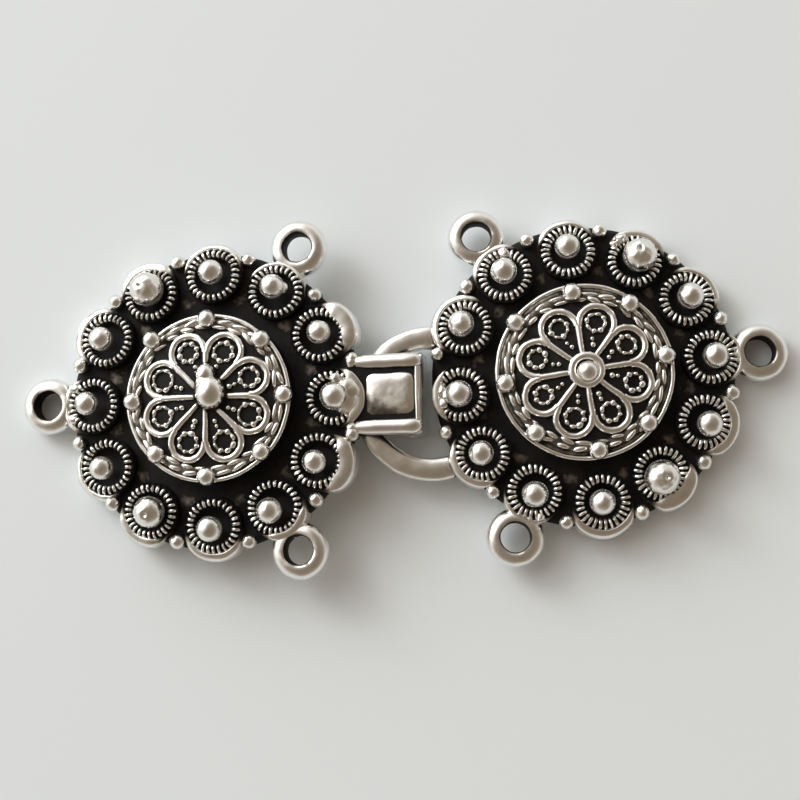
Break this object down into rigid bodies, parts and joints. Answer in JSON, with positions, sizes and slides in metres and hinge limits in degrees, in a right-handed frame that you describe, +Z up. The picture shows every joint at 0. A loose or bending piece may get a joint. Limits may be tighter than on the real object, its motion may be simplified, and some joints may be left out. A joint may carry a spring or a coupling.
{
  "type": "three-strand hook and eye clasp",
  "caption": "Round two-part hook and eye clasp for stranded jewellery, cast with rosettes, grains and domed wirework, with loops for the strands.",
  "frame": {"origin": "under the middle of the box, on the surface that the fastened clasp lies on", "axes": "+X along the clasp from the hook half to the eye half, +Y across it to the back, +Z up from the table through the domes"},
  "size_m": [0.0634, 0.0306, 0.0066],
  "materials": {
    "hook_half": "antique silver plating on a zinc casting, bright on the raised work and dark in the recesses",
    "eye_half": "antique silver plating on a zinc casting, bright on the raised work and dark in the recesses"
  },
  "bodies": {
    "eye_half": {"eye_half": "eye_half"},
    "hook_half": {"hook_half": "hook_half"}
  },
  "joints": [
    {"name": "hook_swing", "type": "hinge", "parent": "eye_half", "child": "hook_half", "pos_m": [-0.00223, -0.00035, 0.00203], "axis": [-0.0244, 0.9997, 0], "range_deg": [-4, 12]}
  ]
}
